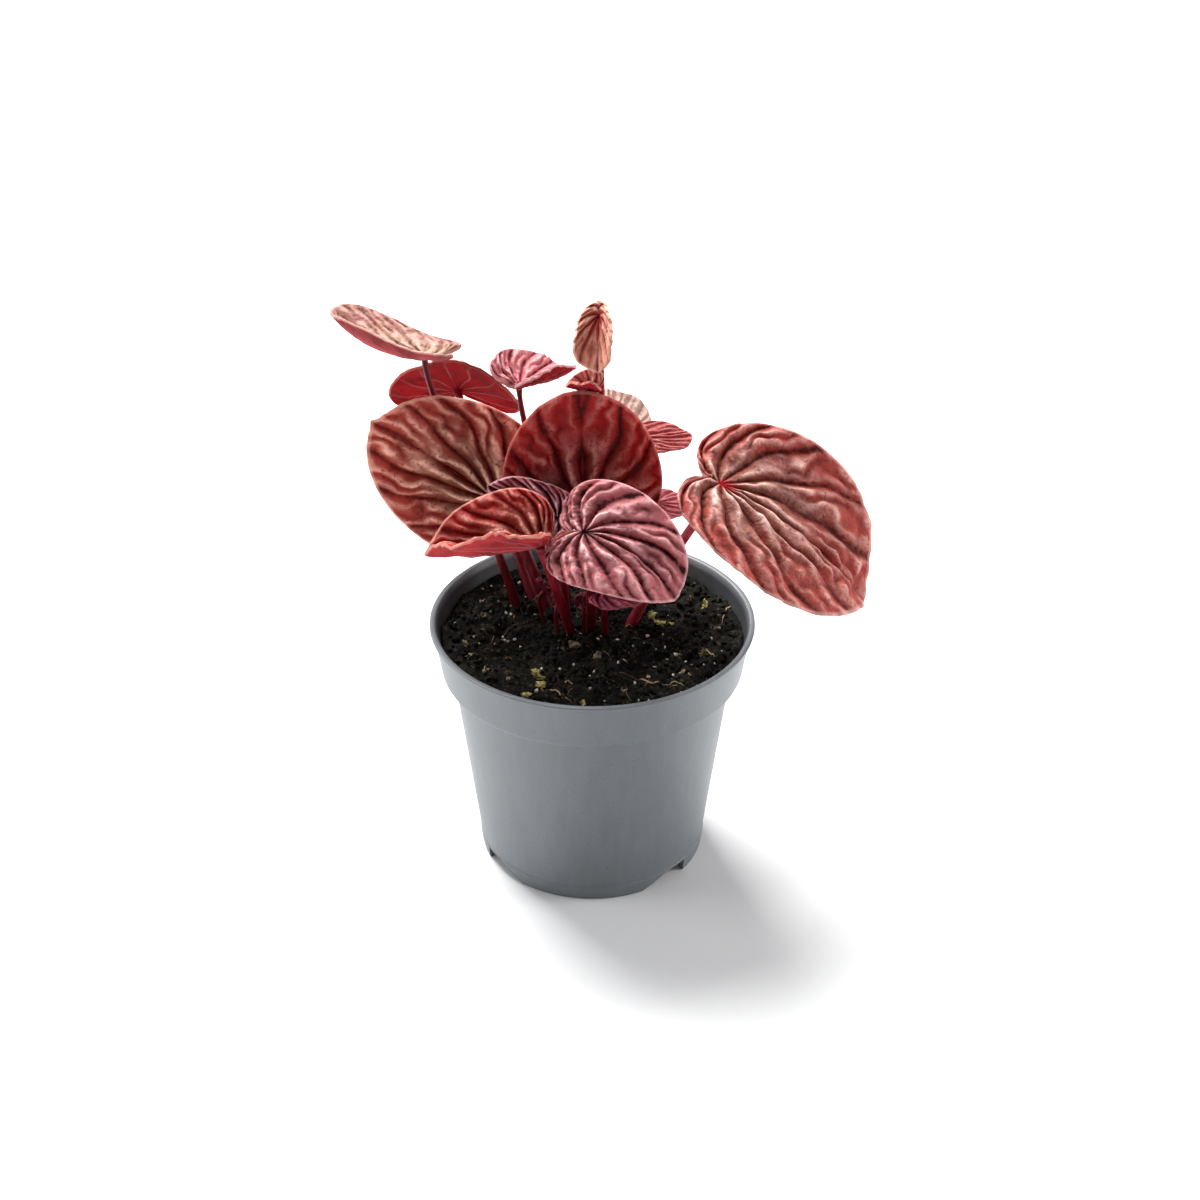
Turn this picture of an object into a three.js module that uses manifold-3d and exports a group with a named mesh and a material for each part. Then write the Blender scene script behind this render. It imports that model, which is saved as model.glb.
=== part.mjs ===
// Ripple peperomia (Peperomia caperata) growing in a small round nursery pot.
// Millimetres, +Z up. The origin is the centre of the pot's underside, where the pot stands.
// The plant is a loose rosette: each leaf is one heart-shaped blade on one fleshy stalk,
// and every stalk stands in its own hole in the soil.

import * as THREE from 'three';
import { mergeVertices } from 'three/addons/utils/BufferGeometryUtils.js';
import Module from 'manifold-3d';

const wasm = await Module();
wasm.setup();

const { PI, abs, cos, exp, floor, min, sign, sin } = Math;
const DEGREE = PI / 180;
const GAP = 0.3;                   // between pieces that touch in the real plant

// Pot: an 8.5 cm injection-moulded nursery pot with a collar and four drain notches.
const POT_HEIGHT = 69.4;
const RIM_RADIUS = 42.5;
const RIM_WIDTH = 1.4;
const LIP_HEIGHT = 1.2;
const COLLAR_TOP_RADIUS = 41.6;
const COLLAR_BOTTOM_RADIUS = 39.7;
const COLLAR_BOTTOM = 55.5;        // height of the collar's lower edge
const BODY_TOP_RADIUS = 36.9;
const BODY_BASE_RADIUS = 29.9;
const WALL = 1.3;
const FOOT_BAND = 4.4;             // height of the slightly prouder band at the foot
const FOOT_BAND_PROUD = 0.25;
const FLOOR_THICKNESS = 1.5;
const FLOOR_RADIUS = 24;           // the flat middle of the floor, which stands on the ground
const GUTTER_HEIGHT = 4.2;         // underside of the raised ring round the floor
const NOTCH_ANGLES = [39, 129, 219, 309];
const NOTCH_STEEP = 8;             // half width on the side with the upright edge
const NOTCH_FLAT = 1;
const NOTCH_SLANT = 9;             // half width on the side with the slanting edge
const DRAIN_HOLE = { width: 9, depth: 2.6 };
const POT_SEGMENTS = 44;

// Soil: peat that fills the pot to a little below its rim.
const SOIL_LEVEL = 65;
const SOIL_LUMP = 0.7;
const SOIL_SEGMENTS = 40;
const SOIL_RINGS = [36, 31, 26, 21, 16, 11, 6];

// Leaves: shared shape values.
const BLADE_THICKNESS = 0.8;
const VEIN_SWEEP = 0.22;           // how far the side veins bend towards the tip
const VEIN_WANDER = 0.06;          // how far the side veins wander, as a share of their spacing
const ROOT_DEPTH = 7;              // how far a stalk goes down into the soil
const STALK_SIDES = 7;
const STALK_STEPS = 6;

// Every leaf. joint is where the stalk meets the blade; heading, rise and roll (degrees) turn
// the midrib; length runs from the joint to the tip, lobe from the joint back to the ear.
// fold and curl bend the left and right halves up, first at the midrib, then along their width;
// arch bends the midrib. veins and ripple are the count of side veins on each half and the
// height of the quilting between them. stalk is its radius at the root and at the blade; bend,
// where it isn't 1, is how much of the usual turn it makes to meet the blade squarely.
// notch is what is left behind the stalk at the bottom of the sinus, wave the height of the
// margin's slow wave, and taper, apex, shift and fullness shape the outline of the halves.
const LEAVES = [
  { name: 'right', joint: [32, 0, 108.8], heading: -14, rise: -21, roll: 15,
    length: 52, width: 48.3, lobe: 11, fold: [4, 17], curl: [34, -36], arch: -40,
    taper: 0.28, shift: 0, fullness: 1.05, veins: 5, ripple: 2.4, root: [8, 6], stalk: [1.5, 1.0],
    rings: 6, segments: 48 },
  { name: 'front', joint: [-2, -14, 102.5], heading: -34, rise: 10, roll: 10,
    length: 30.5, width: 29.5, lobe: 10.5, fold: [27, 0], curl: [26, -48], arch: -72,
    notch: 5, veins: 5, ripple: 2.1, root: [0, 5], stalk: [1.4, 1.1], rings: 6, segments: 44 },
  { name: 'front_left', joint: [-13, -12.5, 98.2], heading: 173, rise: -15, roll: -5,
    length: 30, width: 31, lobe: 6, fold: [50, 56], curl: [-8, -4], arch: 14,
    veins: 5, ripple: 1.5, wave: 0.9, root: [-4.8, 3.2], stalk: [1.3, 1.1], rings: 6, segments: 40 },
  { name: 'inner', joint: [-9, 5, 96.5], heading: 174, rise: 24, roll: -78,
    length: 20, width: 15.5, lobe: 5, fold: [0, 4], curl: [0, 0], arch: -6, bend: 0.3,
    veins: 6, ripple: 1.4, root: [-6.5, 7.5], stalk: [1.2, 1.0], rings: 5, segments: 36 },
  { name: 'middle', joint: [-2.5, 10, 95], heading: 96, rise: 82, roll: 0,
    length: 34.5, width: 41.5, lobe: 10, fold: [-4, 4], curl: [-6, -6], arch: 12,
    taper: 0, apex: 0, veins: 4, ripple: 1.8, root: [3, 12.5], stalk: [1.4, 1.0],
    rings: 6, segments: 40 },
  { name: 'left', joint: [-24, 15.5, 95], heading: 175, rise: 37, roll: -74,
    length: 42.5, width: 40, lobe: 8.5, fold: [-6, -4], curl: [10, -8], arch: 24,
    veins: 5, ripple: 2.1, root: [-9.5, 11], stalk: [1.5, 1.2], rings: 6, segments: 44 },
  { name: 'far_left', joint: [-43, 25, 132.3], heading: 163, rise: -3, roll: 12,
    length: 28.5, width: 20.5, lobe: 13.5, fold: [-6, 28], curl: [75, 0], arch: 46,
    taper: 0, apex: 0, shift: -0.3, wave: 0.15, veins: 5, ripple: 0.6, root: [-18.5, 13.4],
    stalk: [1.4, 0.7], rings: 5, segments: 36 },
  { name: 'back_left', joint: [-37, 56, 108.2], heading: 264, rise: 43, roll: 17,
    length: 31.5, width: 37, lobe: 15, fold: [-15, 5], curl: [-32, -2], arch: -6,
    wave: 0.2, veins: 5, ripple: 0.7, root: [-14, 14.5], stalk: [1.4, 1.0], rings: 5, segments: 40 },
  { name: 'top', joint: [-19, 27, 123], heading: 53, rise: -12, roll: -10,
    length: 22, width: 23, lobe: 6.5, fold: [34, 17], curl: [32, 24], arch: 6,
    veins: 5, ripple: 1.2, root: [-5.5, 17], stalk: [1.2, 0.7], rings: 4, segments: 32 },
  { name: 'rolled', joint: [1.8, 19, 146.8], heading: 268, rise: -62, roll: 0,
    length: 14.8, width: 15, lobe: 3.1, fold: [54, 0], curl: [20, 55], arch: 10, bend: 0.1,
    notch: 2.8, shift: -0.35, wave: 0.2, veins: 4, ripple: 0.7, root: [3.5, 16],
    stalk: [1.1, 0.7], rings: 4, segments: 30 },
  { name: 'cupped', joint: [-1, 14.5, 128], heading: 172, rise: 8, roll: -8,
    length: 6, width: 11.5, lobe: 4.5, fold: [48, 52], curl: [10, 10], arch: 10,
    veins: 4, ripple: 0.3, root: [0, 17], stalk: [0.8, 0.6], rings: 3, segments: 24 },
  { name: 'back_pale', joint: [3, 28, 105.5], heading: 66, rise: 18, roll: 26,
    length: 22.5, width: 22.5, lobe: 7, fold: [10, 10], curl: [-5, -10], arch: -12,
    veins: 5, ripple: 1.1, root: [5, 18.5], stalk: [1.2, 0.9], rings: 4, segments: 32 },
  { name: 'back_right', joint: [11, 21.5, 110.7], heading: 1, rise: -2, roll: 11,
    length: 15, width: 14, lobe: 4, fold: [5, 5], curl: [0, 0], arch: 5,
    taper: 0, apex: 0, veins: 4, ripple: 0.8, root: [12.9, 13.6], stalk: [1.0, 0.7],
    rings: 4, segments: 28 },
  { name: 'low_right', joint: [16.6, 18.2, 93], heading: 8, rise: -8, roll: 5,
    length: 11.5, width: 13, lobe: 3.5, fold: [5, 5], curl: [0, 0], arch: 5,
    veins: 4, ripple: 0.8, root: [12, 9.8], stalk: [1.0, 0.8], rings: 4, segments: 28 },
  { name: 'low_front', joint: [3, -6, 81], heading: -15, rise: 0, roll: 0,
    length: 11, width: 13, lobe: 4, fold: [0, -10], curl: [0, 0], arch: -10,
    veins: 4, ripple: 1.1, root: [3.5, 2], stalk: [1.0, 0.8], rings: 3, segments: 24 },
  { name: 'shoot_left', joint: [-12.5, 8, 72.5], heading: 200, rise: 65, roll: 0,
    length: 5, width: 4.5, lobe: 1.2, fold: [30, 30], curl: [20, 20], arch: 0,
    veins: 2, ripple: 0.2, root: [-11.5, 7], stalk: [0.6, 0.5], rings: 2, segments: 16 },
  { name: 'shoot_middle', joint: [-9, 3.5, 71.5], heading: 250, rise: 70, roll: 0,
    length: 4.5, width: 4, lobe: 1.2, fold: [30, 30], curl: [20, 20], arch: 0,
    veins: 2, ripple: 0.2, root: [-8.6, 3], stalk: [0.6, 0.5], rings: 2, segments: 16 },
  { name: 'shoot_right', joint: [-2.9, 1.2, 73], heading: 290, rise: 60, roll: 0,
    length: 5, width: 4.5, lobe: 1.2, fold: [30, 30], curl: [20, 20], arch: 0,
    veins: 2, ripple: 0.2, root: [-2.2, 1.2], stalk: [0.6, 0.5], rings: 2, segments: 16 },
];

const FINISH = {
  pot: { color: 0x70777d, roughness: 0.45, metalness: 0 },
  soil: { color: 0x1d1915, roughness: 1, metalness: 0 },
  blade: { color: 0x8c4648, roughness: 0.4, metalness: 0 },
  stalk: { color: 0x8e2433, roughness: 0.4, metalness: 0 },
};

// ---- solids and booleans ----

function toSolid(geometry) {
  const bare = geometry.clone();
  bare.deleteAttribute('normal');
  bare.deleteAttribute('uv');
  const merged = mergeVertices(bare, 1e-4);
  return new wasm.Manifold(new wasm.Mesh({
    numProp: 3,
    vertProperties: new Float32Array(merged.attributes.position.array),
    triVerts: new Uint32Array(merged.index.array),
  }));
}

function toGeometry(solid) {
  const mesh = solid.getMesh();
  const geometry = new THREE.BufferGeometry();
  geometry.setAttribute('position', new THREE.BufferAttribute(mesh.vertProperties, 3));
  geometry.setIndex(new THREE.BufferAttribute(mesh.triVerts, 1));
  geometry.computeVertexNormals();
  return geometry;
}

function geometryOf(points, triangles) {
  const geometry = new THREE.BufferGeometry().setFromPoints(points);
  geometry.setIndex(triangles);
  geometry.computeVertexNormals();
  return geometry;
}

// Closes a stack of rings of points into one skin, with a fan over each end.
function skinOfRings(rings) {
  const count = rings[0].length;
  const points = rings.flat();
  const triangles = [];
  for (let ring = 0; ring < rings.length - 1; ring += 1) {
    for (let i = 0; i < count; i += 1) {
      const a = ring * count + i;
      const b = ring * count + (i + 1) % count;
      triangles.push(a, b, b + count, a, b + count, a + count);
    }
  }
  const middle = ring => ring.reduce((sum, p) => sum.add(p), new THREE.Vector3()).divideScalar(count);
  const first = points.push(middle(rings[0])) - 1;
  const last = points.push(middle(rings.at(-1))) - 1;
  const top = (rings.length - 1) * count;
  for (let i = 0; i < count; i += 1) {
    const next = (i + 1) % count;
    triangles.push(first, next, i, last, top + i, top + next);
  }
  return geometryOf(points, triangles);
}

// ---- pot ----

const bodyRadius = z => BODY_BASE_RADIUS + (BODY_TOP_RADIUS - BODY_BASE_RADIUS) * z / COLLAR_BOTTOM;

function potProfile() {
  const lipBottom = POT_HEIGHT - LIP_HEIGHT;
  const floorTop = GUTTER_HEIGHT + FLOOR_THICKNESS;
  return [
    [0, 0], [FLOOR_RADIUS, 0], [FLOOR_RADIUS + 0.8, GUTTER_HEIGHT],
    [BODY_BASE_RADIUS - WALL, GUTTER_HEIGHT], [BODY_BASE_RADIUS - WALL, 0],
    [BODY_BASE_RADIUS + FOOT_BAND_PROUD, 0],
    [bodyRadius(FOOT_BAND) + FOOT_BAND_PROUD, FOOT_BAND - 0.3], [bodyRadius(FOOT_BAND), FOOT_BAND],
    [bodyRadius(COLLAR_BOTTOM) - 0.1, COLLAR_BOTTOM - 0.8], [BODY_TOP_RADIUS + 0.7, COLLAR_BOTTOM],
    [COLLAR_BOTTOM_RADIUS - 0.6, COLLAR_BOTTOM], [COLLAR_BOTTOM_RADIUS, COLLAR_BOTTOM + 0.7],
    [COLLAR_TOP_RADIUS, lipBottom], [RIM_RADIUS, lipBottom + 0.3], [RIM_RADIUS, POT_HEIGHT - 0.3],
    [RIM_RADIUS - 0.4, POT_HEIGHT], [RIM_RADIUS - RIM_WIDTH, POT_HEIGHT],
    [COLLAR_TOP_RADIUS - WALL, lipBottom - 0.4], [COLLAR_BOTTOM_RADIUS - WALL, COLLAR_BOTTOM + 1.6],
    [BODY_TOP_RADIUS - WALL, COLLAR_BOTTOM - 0.3], [bodyRadius(floorTop) - WALL, floorTop],
    [FLOOR_RADIUS - 0.6, floorTop], [FLOOR_RADIUS - 1.4, FLOOR_THICKNESS], [0, FLOOR_THICKNESS],
    [0, 0],
  ].map(([radius, z]) => new THREE.Vector2(radius, z));
}

// One drain notch: an opening in the foot with one upright and one slanting edge, and behind it
// a slot through the raised ring of the floor.
function drainCutter(angle, mirror) {
  const outline = new THREE.Shape([
    new THREE.Vector2(-NOTCH_STEEP, -1), new THREE.Vector2(-NOTCH_STEEP, GUTTER_HEIGHT - 0.2),
    new THREE.Vector2(-NOTCH_FLAT, GUTTER_HEIGHT - 0.2), new THREE.Vector2(NOTCH_SLANT, -1),
  ].map(point => point.set(point.x * mirror, point.y)));
  const notch = new THREE.ExtrudeGeometry(outline, { depth: 6, bevelEnabled: false });
  const hole = new THREE.BoxGeometry(DRAIN_HOLE.width, 6, DRAIN_HOLE.depth);
  hole.translate(0, GUTTER_HEIGHT, -0.8);
  const place = new THREE.Matrix4().makeRotationZ((angle + 90) * DEGREE)
    .multiply(new THREE.Matrix4().makeRotationX(PI / 2))
    .multiply(new THREE.Matrix4().makeTranslation(0, 0, BODY_BASE_RADIUS - 3));
  return [toSolid(notch.applyMatrix4(place)), toSolid(hole.applyMatrix4(place))];
}

function potGeometry() {
  let pot = toSolid(new THREE.LatheGeometry(potProfile(), POT_SEGMENTS).rotateX(PI / 2));
  NOTCH_ANGLES.forEach((angle, i) => {
    for (const cutter of drainCutter(angle, i % 2 ? -1 : 1)) pot = pot.subtract(cutter);
  });
  return toGeometry(pot);
}

// ---- leaf blades ----

// Flat outline of a blade with its stalk at the origin and its tip on +X, for an angle that is
// 0 at the tip and plus or minus 180 degrees at the bottom of the sinus between the ears.
function marginPoint(leaf, angle) {
  const { length, width, lobe, notch = 1 } = leaf;
  const { taper = 0.18, apex = 0.05, shift = 0.2, fullness = 0.9 } = leaf;
  const turn = abs(angle);
  const sinus = exp(-(((PI - turn) / 0.34) ** 2));
  const point = apex * length * (exp(-turn / 0.2) - 1);
  const x = (length + lobe) * (1 + cos(turn)) / 2 - lobe + (lobe - notch) * sinus + point;
  const half = width / 2 * sin(turn - shift * sin(turn)) ** fullness;
  const y = half * (1 - taper * exp(-((turn / 0.5) ** 2))) * (1 - 0.75 * sinus);
  return [x, sign(angle) * y];
}

// Quilting between the veins, higher half way out, and the slow wave of the margin.
function surfaceLift(leaf, x, y, reach, angle) {
  const seed = leaf.length + leaf.width;
  const wander = sin(0.33 * x + 0.2 * y + seed) + sin(0.41 * y - 0.24 * x + 2 * seed);
  const vein = abs(angle) / (1 - VEIN_SWEEP * reach * reach) / PI * leaf.veins;
  const between = abs(sin(PI * (vein + VEIN_WANDER * wander * min(1, 2.5 * reach))));
  const pads = 1 + 0.3 * sin(8 * reach + 2.4 * floor(vein) + leaf.length);
  const fade = 1.25 * reach ** 0.6 * (1 - 0.7 * reach ** 4);
  const wave = (leaf.wave ?? 0.4) * reach ** 3 * sin(5 * angle + leaf.width);
  return leaf.ripple * (between ** 0.85 - 0.5) * pads * fade + wave;
}

// Follows a path whose direction starts at one angle and turns evenly by another.
function bentPath(distance, start, turn, total) {
  const rate = abs(turn) < 1e-6 ? 1e-6 / total : turn / total;
  const angle = start + rate * distance;
  return [(sin(angle) - sin(start)) / rate, (cos(start) - cos(angle)) / rate, angle];
}

function leafAxes({ heading, rise, roll }) {
  const [a, b, r] = [heading, rise, roll].map(value => value * DEGREE);
  const along = new THREE.Vector3(cos(a) * cos(b), sin(a) * cos(b), sin(b));
  const level = new THREE.Vector3(-sin(a), cos(a), 0);
  const above = along.clone().cross(level);
  const left = level.clone().multiplyScalar(cos(r)).addScaledVector(above, sin(r));
  return { along, left, up: along.clone().cross(left) };
}

// Bends a point of the flat blade, lift above its middle surface, into its place in the plant.
function bladePoint(leaf, axes, x, y, lift) {
  const half = y >= 0 ? 0 : 1;
  const side = y >= 0 ? 1 : -1;
  const fold = leaf.fold[half] * DEGREE;
  const curl = leaf.curl[half] * DEGREE;
  const [across, climb, slope] = bentPath(abs(y), fold, curl, leaf.width / 2);
  const [along, rise, pitch] = bentPath(x, 0, leaf.arch * DEGREE, leaf.length);
  const height = climb + cos(slope) * lift;
  const sideways = side * (across - sin(slope) * lift);
  return new THREE.Vector3(...leaf.joint)
    .addScaledVector(axes.along, along - sin(pitch) * height)
    .addScaledVector(axes.left, sideways)
    .addScaledVector(axes.up, rise + cos(pitch) * height);
}

function bladeGeometry(leaf) {
  const axes = leafAxes(leaf);
  const { rings, segments } = leaf;
  const faceSize = 1 + rings * segments;
  const points = [];
  for (const lift of [BLADE_THICKNESS / 2, -BLADE_THICKNESS / 2]) {
    points.push(bladePoint(leaf, axes, 0, 0, lift));
    for (let ring = 1; ring <= rings; ring += 1) {
      const reach = ring / rings;
      for (let i = 0; i < segments; i += 1) {
        const angle = PI * (2 * i / segments - 1);
        const [x, y] = marginPoint(leaf, angle);
        const height = surfaceLift(leaf, x * reach, y * reach, reach, angle) + lift;
        points.push(bladePoint(leaf, axes, x * reach, y * reach, height));
      }
    }
  }
  const triangles = [];
  const onBothFaces = (a, b, c) => triangles.push(a, b, c, a + faceSize, c + faceSize, b + faceSize);
  for (let i = 0; i < segments; i += 1) {
    const next = (i + 1) % segments;
    onBothFaces(0, 1 + i, 1 + next);
    for (let ring = 0; ring < rings - 1; ring += 1) {
      const a = 1 + ring * segments + i;
      const b = 1 + ring * segments + next;
      onBothFaces(a, a + segments, b + segments);
      onBothFaces(a, b + segments, b);
    }
    const a = 1 + (rings - 1) * segments + i;
    const b = 1 + (rings - 1) * segments + next;
    triangles.push(a, a + faceSize, b + faceSize, a, b + faceSize, b);
  }
  return geometryOf(points, triangles);
}

// ---- stalks ----

// A stalk rises from its root and turns up into the underside of its blade.
function stalkPath(leaf) {
  const { up } = leafAxes(leaf);
  const root = new THREE.Vector3(...leaf.root, SOIL_LEVEL - ROOT_DEPTH);
  const below = BLADE_THICKNESS / 2 + GAP + 0.08 * leaf.ripple;
  const end = new THREE.Vector3(...leaf.joint).addScaledVector(up, -below);
  const span = root.distanceTo(end);
  const leaving = root.clone().lerp(end, 0.3).add(new THREE.Vector3(0, 0, 0.1 * span));
  const reach = min(0.22 * span, 9) * (leaf.bend ?? 1);
  const arriving = end.clone().addScaledVector(up, -reach);
  return new THREE.CubicBezierCurve3(root, leaving, arriving, end);
}

function stalkRings(path, radiusAt) {
  const rings = [];
  for (let step = 0; step <= STALK_STEPS; step += 1) {
    const reach = step / STALK_STEPS;
    const centre = path.getPoint(reach);
    const tangent = path.getTangent(reach);
    const across = new THREE.Vector3(0, 1, 0).cross(tangent).normalize();
    const other = tangent.clone().cross(across);
    rings.push(Array.from({ length: STALK_SIDES }, (_, i) => {
      const angle = 2 * PI * i / STALK_SIDES;
      return centre.clone().addScaledVector(across, cos(angle) * radiusAt(reach))
        .addScaledVector(other, sin(angle) * radiusAt(reach));
    }));
  }
  return rings;
}

function stalkGeometry(leaf, spare = 0) {
  const [atRoot, atBlade] = leaf.stalk;
  const radiusAt = reach => atRoot + (atBlade - atRoot) * reach + spare;
  return skinOfRings(stalkRings(stalkPath(leaf), radiusAt));
}

// ---- soil ----

function soilLump(x, y) {
  return SOIL_LUMP * (sin(0.31 * x + 1.2) * cos(0.27 * y) + 0.6 * sin(0.62 * x - 0.49 * y + 0.7));
}

function soilGeometry() {
  const floorTop = GUTTER_HEIGHT + FLOOR_THICKNESS + GAP;
  const edge = COLLAR_TOP_RADIUS - WALL - 3 * GAP;
  const wall = [
    [FLOOR_RADIUS - 1.4 - 2 * GAP, FLOOR_THICKNESS + GAP], [FLOOR_RADIUS - 0.6 - 2 * GAP, floorTop],
    [bodyRadius(floorTop) - WALL - GAP, floorTop], [BODY_TOP_RADIUS - WALL - GAP, COLLAR_BOTTOM],
    [COLLAR_BOTTOM_RADIUS - WALL - GAP, COLLAR_BOTTOM + 2], [edge, SOIL_LEVEL],
  ];
  const circle = (radius, height) => Array.from({ length: SOIL_SEGMENTS }, (_, i) => {
    const angle = 2 * PI * i / SOIL_SEGMENTS;
    const [x, y] = [radius * cos(angle), radius * sin(angle)];
    return new THREE.Vector3(x, y, height(x, y));
  });
  const rings = wall.map(([radius, z]) => circle(radius, () => z));
  for (const radius of SOIL_RINGS) rings.push(circle(radius, (x, y) => SOIL_LEVEL + soilLump(x, y)));
  let soil = toSolid(skinOfRings(rings));
  for (const leaf of LEAVES) soil = soil.subtract(toSolid(stalkGeometry(leaf, GAP)));
  return toGeometry(soil);
}

// ---- the potted plant ----

const plant = new THREE.Group();

function addPiece(name, geometry, finish) {
  const piece = new THREE.Mesh(geometry, new THREE.MeshStandardMaterial(finish));
  piece.name = name;
  plant.add(piece);
}

addPiece('pot', potGeometry(), FINISH.pot);
addPiece('soil', soilGeometry(), FINISH.soil);
for (const leaf of LEAVES) {
  addPiece(`leaf_${leaf.name}`, bladeGeometry(leaf), FINISH.blade);
  addPiece(`stalk_${leaf.name}`, stalkGeometry(leaf), FINISH.stalk);
}

export default plant;
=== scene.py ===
# Ripple peperomia (Peperomia caperata) in a small nursery pot.
# The file builds the potted plant from the pot up: pot, soil, stalks, leaves. The object's
# sizes are in millimetres until a mesh is made, the camera and the lamps are placed in metres,
# and +Z is up.

import random
from math import cos, exp, hypot, pi, radians, sin

import bmesh
import bpy
import numpy as np
from mathutils import Matrix, Vector, noise


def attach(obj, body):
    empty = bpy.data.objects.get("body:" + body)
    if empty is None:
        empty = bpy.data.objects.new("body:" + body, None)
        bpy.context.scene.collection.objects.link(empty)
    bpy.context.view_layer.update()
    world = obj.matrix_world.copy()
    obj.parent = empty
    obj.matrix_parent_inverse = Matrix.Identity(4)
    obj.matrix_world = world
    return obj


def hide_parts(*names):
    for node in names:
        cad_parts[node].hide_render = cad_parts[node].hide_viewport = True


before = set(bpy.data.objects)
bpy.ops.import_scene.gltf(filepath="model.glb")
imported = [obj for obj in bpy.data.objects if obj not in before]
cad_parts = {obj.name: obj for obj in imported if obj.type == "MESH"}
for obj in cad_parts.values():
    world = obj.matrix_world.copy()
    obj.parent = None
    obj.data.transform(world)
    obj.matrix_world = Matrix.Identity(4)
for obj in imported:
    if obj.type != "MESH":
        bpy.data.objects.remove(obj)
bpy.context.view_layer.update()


# ---- Camera ----
# Looks down on the plant from the front, from a little over half a metre away, through a
# slightly long lens. The roll is in degrees.

CAMERA_PLACE = (0.0, -0.489, 0.372)
CAMERA_TARGET = (0.002, 0.0, 0.0748)
CAMERA_ROLL = 0.18
CAMERA_LENS = 66.0


def aim(place, target, roll=0.0):
    """Matrix of a camera or lamp at place that looks at target."""
    turn = (Vector(target) - Vector(place)).to_track_quat("-Z", "Y").to_matrix().to_4x4()
    return Matrix.Translation(place) @ turn @ Matrix.Rotation(radians(roll), 4, "Z")


camera_data = bpy.data.cameras.new("camera")
camera_data.lens = CAMERA_LENS
camera_data.sensor_width = 36.0
camera_data.dof.use_dof = False
camera = bpy.data.objects.new("camera", camera_data)
camera.matrix_world = aim(CAMERA_PLACE, CAMERA_TARGET, CAMERA_ROLL)
bpy.context.scene.collection.objects.link(camera)
bpy.context.scene.camera = camera


# ---- Light ----
# Soft studio light: a large lamp above and behind on the left, a weaker one on each side, and
# pale surroundings.

LAMPS = [
    # name, place, target, width in metres, power in watts
    ("lamp_back", (-0.28, 0.5, 0.85), (0, 0, 0.08), 0.6, 24),
    ("lamp_left", (-0.95, 0.0, 0.4), (0, 0, 0.06), 0.5, 4),
    ("lamp_right", (0.95, 0.0, 0.4), (0, 0, 0.06), 0.5, 6),
]
SURROUNDINGS = (0.95, 0.97, 1.0)
SURROUNDINGS_STRENGTH = 0.3

for name, place, target, width, power in LAMPS:
    lamp_data = bpy.data.lights.new(name, "AREA")
    lamp_data.size = width
    lamp_data.energy = power
    lamp = bpy.data.objects.new(name, lamp_data)
    lamp.matrix_world = aim(place, target)
    bpy.context.scene.collection.objects.link(lamp)

bpy.context.scene.view_settings.view_transform = "Standard"
world = bpy.data.worlds.new("surroundings")
world.use_nodes = True
world.node_tree.nodes["Background"].inputs["Color"].default_value = (*SURROUNDINGS, 1)
world.node_tree.nodes["Background"].inputs["Strength"].default_value = SURROUNDINGS_STRENGTH
bpy.context.scene.world = world


# ---- Floor ----
# A plain pale matt table top that the pot stands on, wide enough to fill the view.

FLOOR_SIZE = 6000
MM = 0.001


class Value:
    """An output socket of a material, on which Python's arithmetic adds Math nodes."""

    def __init__(self, look, socket):
        self.look = look
        self.socket = socket

    def __add__(self, other):
        return self.look.maths("ADD", self, other)

    def __sub__(self, other):
        return self.look.maths("SUBTRACT", self, other)

    def __rsub__(self, other):
        return self.look.maths("SUBTRACT", other, self)

    def __mul__(self, other):
        return self.look.maths("MULTIPLY", self, other)

    __radd__ = __add__
    __rmul__ = __mul__


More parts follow.
